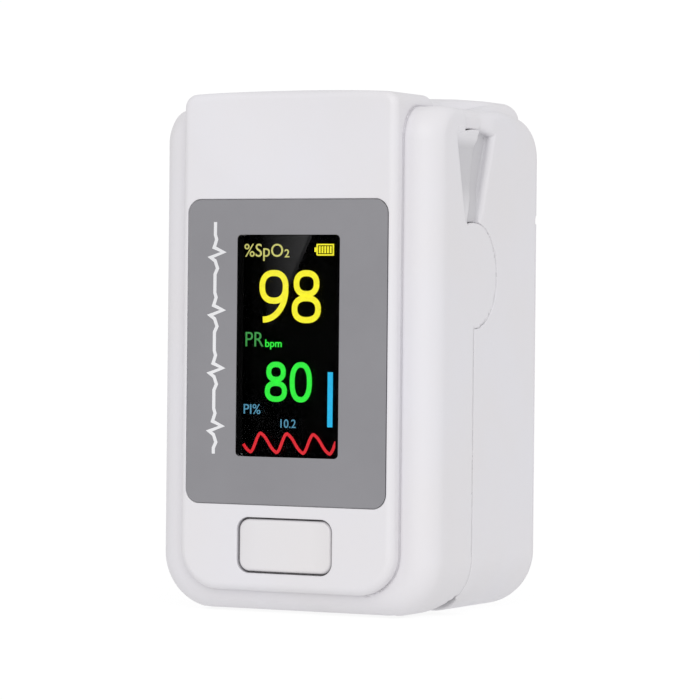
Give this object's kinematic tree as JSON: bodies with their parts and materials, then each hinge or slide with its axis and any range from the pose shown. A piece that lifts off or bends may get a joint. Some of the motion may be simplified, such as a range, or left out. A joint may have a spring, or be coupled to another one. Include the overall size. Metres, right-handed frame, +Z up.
{
  "type": "fingertip pulse oximeter",
  "caption": "White clip-on finger sensor with a lit display on a grey plate, a power button, a spring-hinged jaw that opens at the bottom, and a battery door on the back.",
  "frame": {"origin": "centre of the bounding box on the surface it stands on, which is its finger opening's end", "axes": "+Z up along its length, display facing -Y, +X to the right of someone reading the display"},
  "size_m": [0.0344, 0.031, 0.058],
  "materials": {
    "white_shell": "satin moulded ABS with a very fine texture",
    "button_white": "satin",
    "grey_plate": "printed polycarbonate, satin",
    "screen_lens": "clear over a black display, polished",
    "display_black": "glass package, polished",
    "switch_metal": "brushed",
    "switch_black": "matte",
    "circuit_board": "green solder mask, semi-gloss",
    "chip_black": "matte",
    "chip_ceramic": "matte",
    "frame_grey": "matte moulded",
    "silicone": "matte silicone",
    "sensor_window": "polished tinted epoxy",
    "emitter_clear": "clear epoxy",
    "photodiode_dark": "polished",
    "screw_steel": "zinc plated",
    "cell_sleeve": "printed sleeve",
    "contact_nickel": "nickel plated",
    "pin_steel": "ground",
    "spring_steel": "drawn wire",
    "cable_amber": "polyimide film"
  },
  "bodies": {
    "rear_half": {"rear_shell": "white_shell", "rear_inner_frame": "frame_grey", "rear_finger_pad": "silicone", "rear_sensor_window": "sensor_window", "photodiode": "photodiode_dark", "rear_sensor_board": "circuit_board", "rear_screws": "screw_steel", "battery_left": "cell_sleeve", "battery_right": "cell_sleeve", "bridge_contact": "contact_nickel", "end_contacts": "contact_nickel", "hinge_pin_left": "pin_steel", "hinge_pin_right": "pin_steel", "torsion_spring_left": "spring_steel", "torsion_spring_right": "spring_steel", "flex_cable": "cable_amber"},
    "front_half": {"front_cover": "white_shell", "face_plate": "grey_plate", "screen_lens": "screen_lens", "display_module": "display_black", "power_switch": "switch_metal", "main_board": "circuit_board", "board_chips": "chip_black", "board_passives": "chip_ceramic", "buzzer": "chip_black", "front_inner_frame": "frame_grey", "front_finger_pad": "silicone", "front_sensor_window": "sensor_window", "led_emitter": "emitter_clear", "front_sensor_board": "circuit_board", "front_screws": "screw_steel"},
    "button": {"power_button": "button_white", "switch_plunger": "switch_black"},
    "door": {"battery_door": "white_shell"}
  },
  "joints": [
    {"name": "jaw_hinge", "type": "hinge", "parent": "rear_half", "child": "front_half", "pos_m": [0, -0.0034, 0.0377], "axis": [-1, 0, 0], "range_deg": [0, 13], "stiffness_Nm_per_rad": 0.25, "springref_deg": -20.05, "deforming": ["torsion_spring_left", "torsion_spring_right", "flex_cable"]},
    {"name": "button_press", "type": "slide", "parent": "front_half", "child": "button", "axis": [0, 1, 0], "range_m": [0, 0.0004], "stiffness_N_per_m": 800, "springref_m": -0.0006},
    {"name": "door_hinge", "type": "hinge", "parent": "rear_half", "child": "door", "pos_m": [0, 0.0151, 0.044], "axis": [1, 0, 0], "range_deg": [0, 60]}
  ]
}
